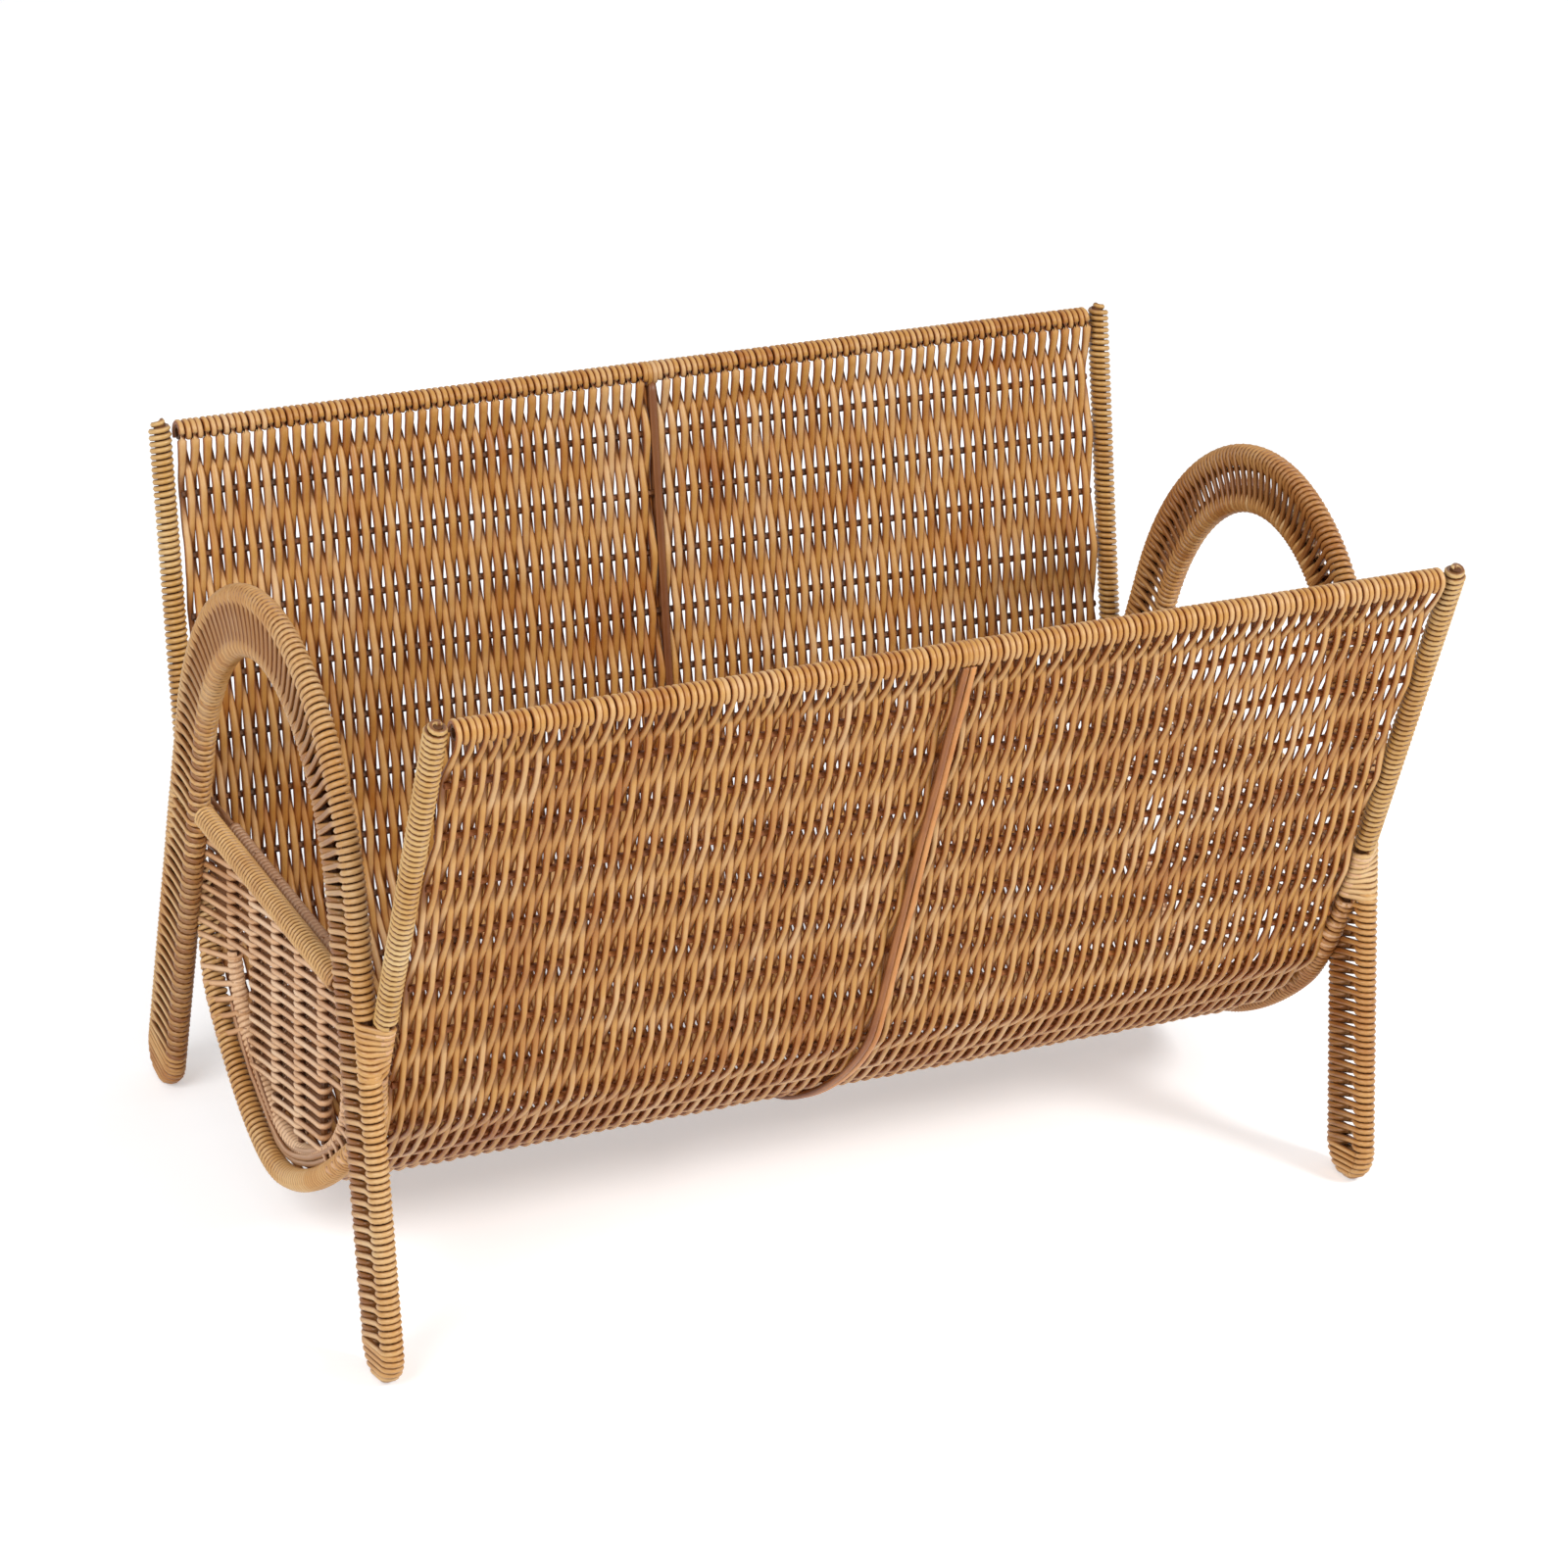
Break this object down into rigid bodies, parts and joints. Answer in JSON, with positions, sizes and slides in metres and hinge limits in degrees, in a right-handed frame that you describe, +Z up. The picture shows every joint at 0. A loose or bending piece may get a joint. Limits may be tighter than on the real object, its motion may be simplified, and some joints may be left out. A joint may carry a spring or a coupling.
{
  "type": "magazine basket",
  "caption": "Woven cane magazine basket: an open trough between two cane-wound arches that serve as legs and as handles.",
  "frame": {"origin": "on the floor under the middle of the trough", "axes": "+X along the trough from the left arch to the right arch, -Y towards the front wall, +Z up"},
  "size_m": [0.4656, 0.3038, 0.2968],
  "materials": {
    "iron_wire": "dark, dull",
    "wound_cane": "varnished, satin",
    "woven_cane": "varnished, satin"
  },
  "bodies": {
    "root": {"left_end_frame": "iron_wire", "left_arch_rod": "iron_wire", "left_border_rib": "iron_wire", "left_rib_1": "iron_wire", "left_rib_2": "iron_wire", "left_rib_3": "iron_wire", "left_rib_4": "iron_wire", "right_end_frame": "iron_wire", "right_arch_rod": "iron_wire", "right_border_rib": "iron_wire", "right_rib_1": "iron_wire", "right_rib_2": "iron_wire", "right_rib_3": "iron_wire", "right_rib_4": "iron_wire", "front_top_rail": "iron_wire", "back_top_rail": "iron_wire", "front_stake_01": "iron_wire", "front_stake_02": "iron_wire", "front_stake_03": "iron_wire", "front_stake_04": "iron_wire", "front_stake_05": "iron_wire", "front_stake_06": "iron_wire", "front_stake_07": "iron_wire", "front_stake_08": "iron_wire", "front_stake_09": "iron_wire", "front_stake_10": "iron_wire", "front_stake_11": "iron_wire", "front_stake_12": "iron_wire", "back_stake_01": "iron_wire", "back_stake_02": "iron_wire", "back_stake_03": "iron_wire", "back_stake_04": "iron_wire", "back_stake_05": "iron_wire", "back_stake_06": "iron_wire", "back_stake_07": "iron_wire", "back_stake_08": "iron_wire", "back_stake_09": "iron_wire", "back_stake_10": "iron_wire", "back_stake_11": "iron_wire", "back_stake_12": "iron_wire", "left_bottom_winding": "wound_cane", "left_arch_winding": "wound_cane", "left_rim_bar": "wound_cane", "left_front_arm_winding": "wound_cane", "left_front_binding": "wound_cane", "left_back_arm_winding": "wound_cane", "left_back_binding": "wound_cane", "right_bottom_winding": "wound_cane", "right_arch_winding": "wound_cane", "right_rim_bar": "wound_cane", "right_front_arm_winding": "wound_cane", "right_front_binding": "wound_cane", "right_back_arm_winding": "wound_cane", "right_back_binding": "wound_cane", "seam_rib": "wound_cane", "left_end_panel": "woven_cane", "left_weave": "woven_cane", "right_end_panel": "woven_cane", "right_weave": "woven_cane"}
  },
  "joints": []
}
